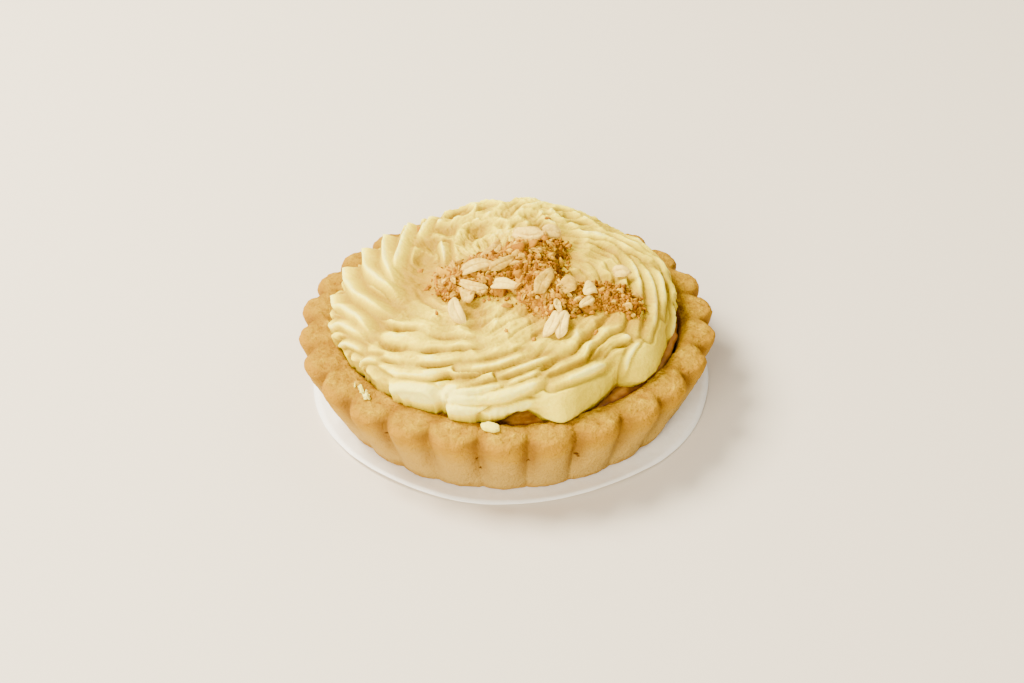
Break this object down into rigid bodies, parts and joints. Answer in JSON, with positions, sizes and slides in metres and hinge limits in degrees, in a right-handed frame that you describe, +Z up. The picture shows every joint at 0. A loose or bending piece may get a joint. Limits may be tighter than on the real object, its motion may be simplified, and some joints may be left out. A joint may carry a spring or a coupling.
{
  "type": "apple tart",
  "caption": "Round tart with a fluted shortcrust shell, cooked apple filling, a piped swirl of cream and an oat crumble topping, on a paper round.",
  "frame": {"origin": "centre of the bounding box's bottom: on the tart's vertical axis, at the surface that the paper round lies on", "axes": "+Z up; -Y is the front, the side with the cream drop on the rim; +X to the right seen from the front"},
  "size_m": [0.0996, 0.0998, 0.0372],
  "materials": {
    "crust": "dry golden baked shortcrust, browned at the rim's shoulder",
    "apple_filling": "moist brown cooked apple",
    "cream": "soft pale yellow piped cream with a slight sheen",
    "crumble": "dry toasted oat crumble with pale flakes",
    "paper": "thin off-white greaseproof paper"
  },
  "bodies": {
    "root": {"crust": "crust", "filling": "apple_filling", "cream": "cream", "cream_drop": "cream", "crumble": "crumble", "paper": "paper"}
  },
  "joints": []
}
